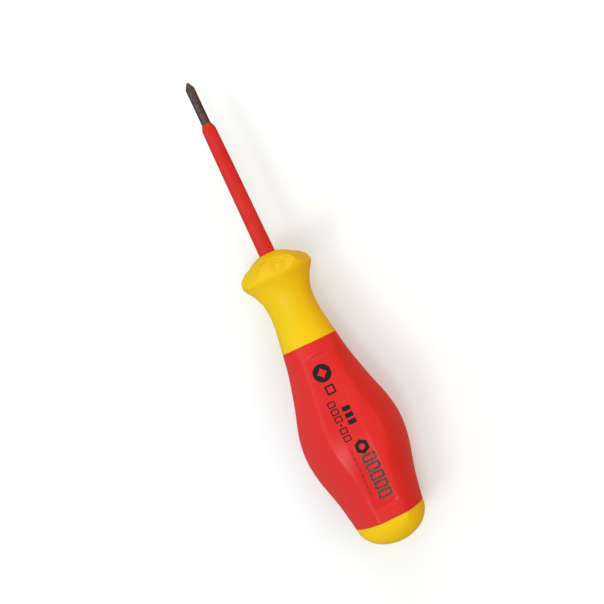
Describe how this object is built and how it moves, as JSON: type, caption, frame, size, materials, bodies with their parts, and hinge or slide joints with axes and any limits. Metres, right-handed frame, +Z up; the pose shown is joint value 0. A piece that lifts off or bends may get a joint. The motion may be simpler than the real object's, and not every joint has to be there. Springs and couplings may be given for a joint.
{
  "type": "insulated screwdriver",
  "caption": "Insulated cross-tip screwdriver with a sleeved blade, a flanged nose guard, a barrel-shaped soft grip and a rounded butt cap.",
  "frame": {"origin": "middle of the overall length and width, on the surface that the grip's widest ring touches", "axes": "+X along the blade's axis towards the tip, +Z up from the side that lies down to the side with the label recess"},
  "size_m": [0.1596, 0.0332, 0.0308],
  "materials": {
    "blade_steel": "dark burnished steel",
    "sleeve_red": "satin moulded insulation",
    "core_grey": "hidden hard plastic",
    "guard_yellow": "satin hard plastic",
    "grip_red": "matte soft plastic",
    "cap_yellow": "satin hard plastic"
  },
  "bodies": {
    "root": {"blade": "blade_steel", "blade_sleeve": "sleeve_red", "handle_core": "core_grey", "nose_guard": "guard_yellow", "grip_sleeve": "grip_red", "butt_cap": "cap_yellow"}
  },
  "joints": []
}
